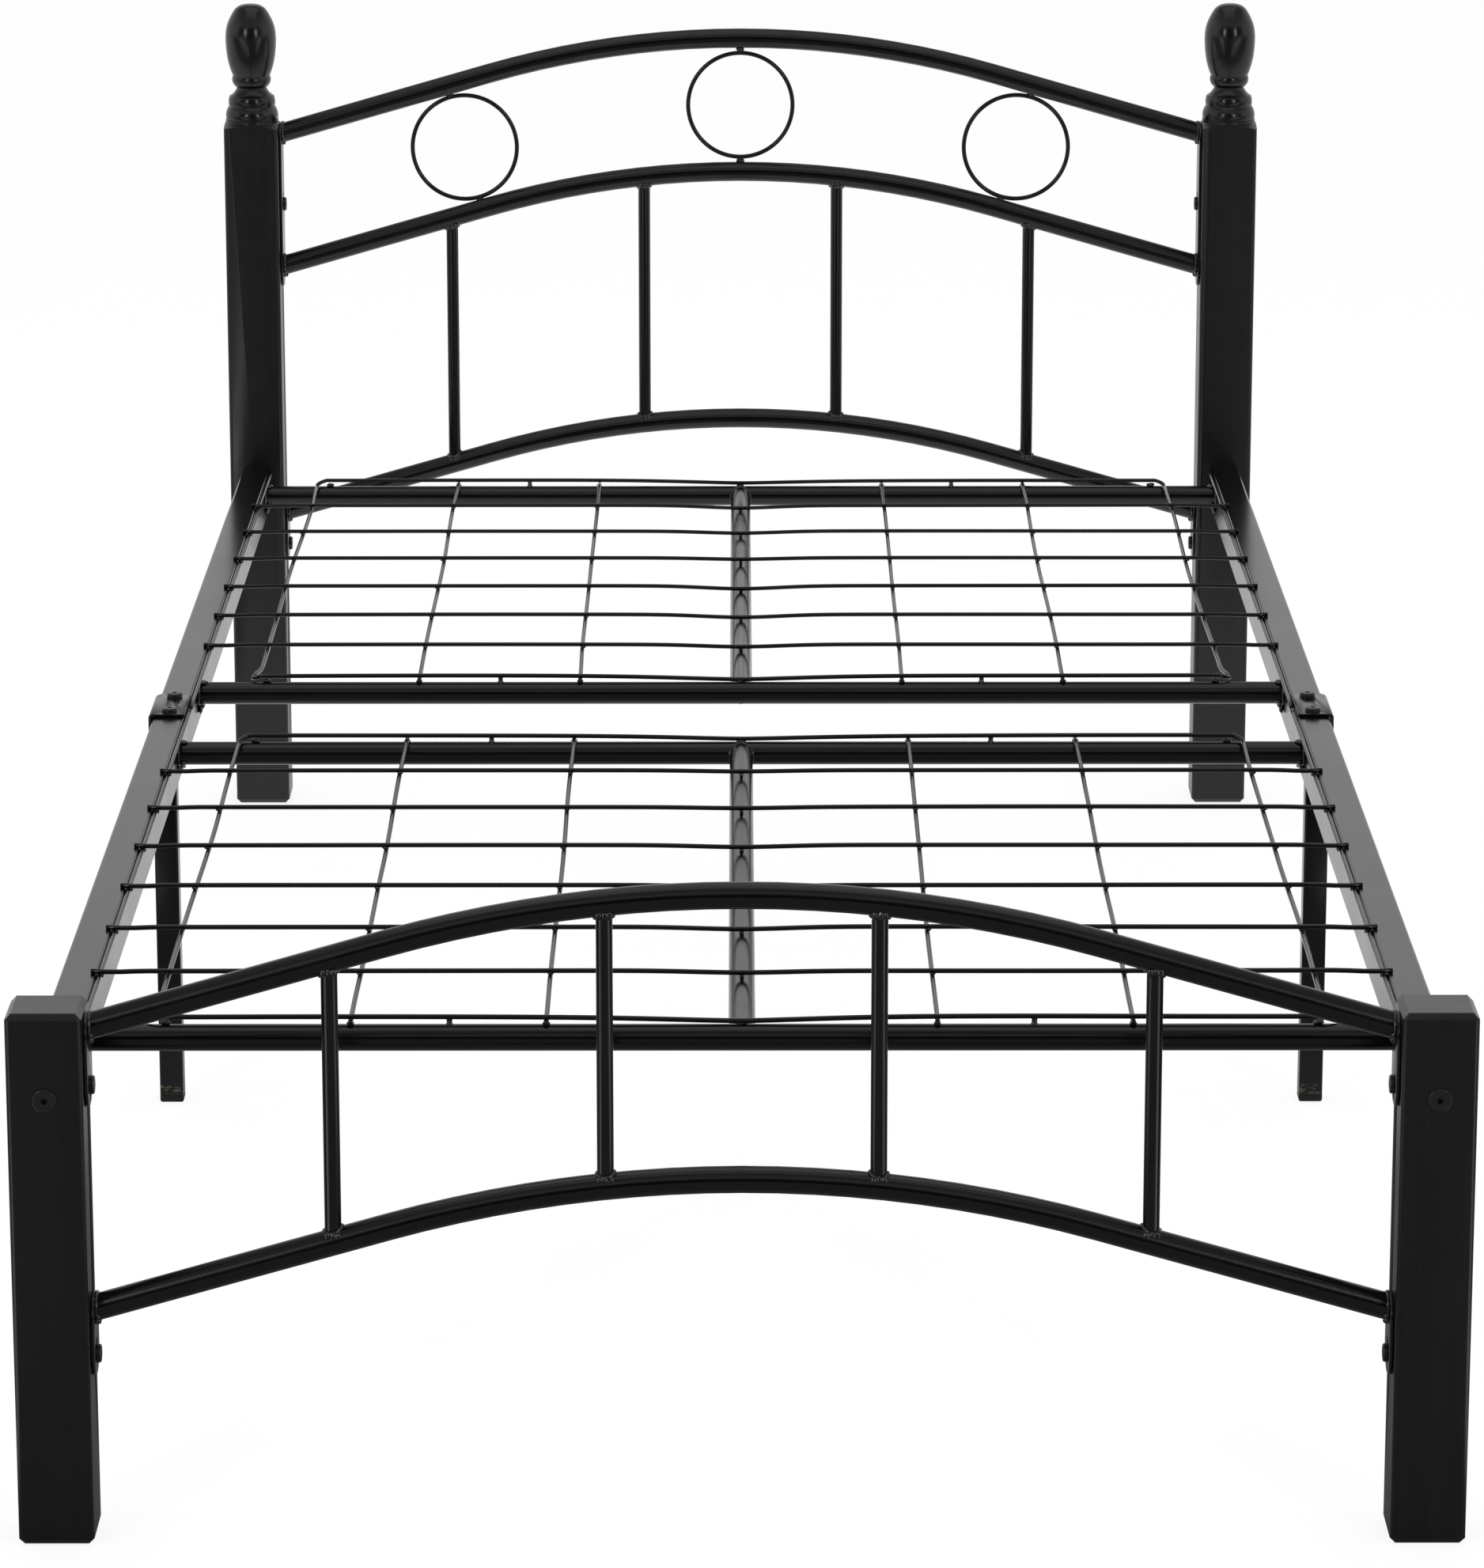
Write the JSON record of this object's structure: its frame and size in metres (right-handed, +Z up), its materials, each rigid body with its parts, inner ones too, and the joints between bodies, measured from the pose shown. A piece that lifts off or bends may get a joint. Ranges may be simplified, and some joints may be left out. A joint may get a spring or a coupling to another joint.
{
  "type": "single bed frame",
  "caption": "Single bed frame with square black timber posts, turned head finials, arched steel tube panels with rings, and a welded wire mesh deck on steel side rails.",
  "frame": {"origin": "on the floor, at the middle of the frame's length and width", "axes": "+X to the right seen from the foot, +Y along the bed towards the headboard, +Z up"},
  "size_m": [0.956, 2.0032, 0.757],
  "materials": {
    "lacquered_timber": "black lacquer, satin, faint vertical grain, eased edges",
    "dowel_timber": "plain beech",
    "panel_powder_coat": "black powder coat, satin",
    "rail_powder_coat": "black powder coat, satin",
    "deck_powder_coat": "black powder coat, satin",
    "blackened_fasteners": "blackened steel",
    "plated_steel": "zinc plated",
    "cap_plastic": "black moulded"
  },
  "bodies": {
    "root": {"post_foot_left": "lacquered_timber", "post_foot_right": "lacquered_timber", "post_head_left": "lacquered_timber", "post_head_right": "lacquered_timber", "finial_left": "lacquered_timber", "finial_right": "lacquered_timber", "finial_dowels": "dowel_timber", "footboard_upper_arch": "panel_powder_coat", "footboard_lower_arch": "panel_powder_coat", "footboard_spindle_1": "panel_powder_coat", "footboard_spindle_2": "panel_powder_coat", "footboard_spindle_3": "panel_powder_coat", "footboard_spindle_4": "panel_powder_coat", "headboard_top_arch": "panel_powder_coat", "headboard_middle_arch": "panel_powder_coat", "headboard_lower_arch": "panel_powder_coat", "headboard_spindle_1": "panel_powder_coat", "headboard_spindle_2": "panel_powder_coat", "headboard_spindle_3": "panel_powder_coat", "headboard_spindle_4": "panel_powder_coat", "headboard_ring_left": "panel_powder_coat", "headboard_ring_centre": "panel_powder_coat", "headboard_ring_right": "panel_powder_coat", "footboard_plate_upper_left": "panel_powder_coat", "footboard_plate_upper_right": "panel_powder_coat", "footboard_plate_lower_left": "panel_powder_coat", "footboard_plate_lower_right": "panel_powder_coat", "headboard_plate_upper_left": "panel_powder_coat", "headboard_plate_upper_right": "panel_powder_coat", "headboard_plate_lower_left": "panel_powder_coat", "headboard_plate_lower_right": "panel_powder_coat", "panel_screws": "blackened_fasteners", "rail_foot_left": "rail_powder_coat", "rail_foot_right": "rail_powder_coat", "rail_head_left": "rail_powder_coat", "rail_head_right": "rail_powder_coat", "rail_plugs": "plated_steel", "post_bolts": "blackened_fasteners", "joint_bracket_left": "rail_powder_coat", "joint_bracket_right": "rail_powder_coat", "joint_bolts": "blackened_fasteners", "joint_nuts": "plated_steel", "middle_leg_left": "rail_powder_coat", "middle_leg_right": "rail_powder_coat", "leg_plates": "rail_powder_coat", "leg_caps": "cap_plastic", "cross_tube_1": "deck_powder_coat", "cross_tube_2": "deck_powder_coat", "cross_tube_3": "deck_powder_coat", "cross_tube_4": "deck_powder_coat", "centre_tube_foot": "deck_powder_coat", "long_wires_foot": "deck_powder_coat", "cross_wires_foot": "deck_powder_coat", "centre_tube_head": "deck_powder_coat", "long_wires_head": "deck_powder_coat", "cross_wires_head": "deck_powder_coat", "end_wires": "deck_powder_coat", "border_wires": "deck_powder_coat"}
  },
  "joints": []
}
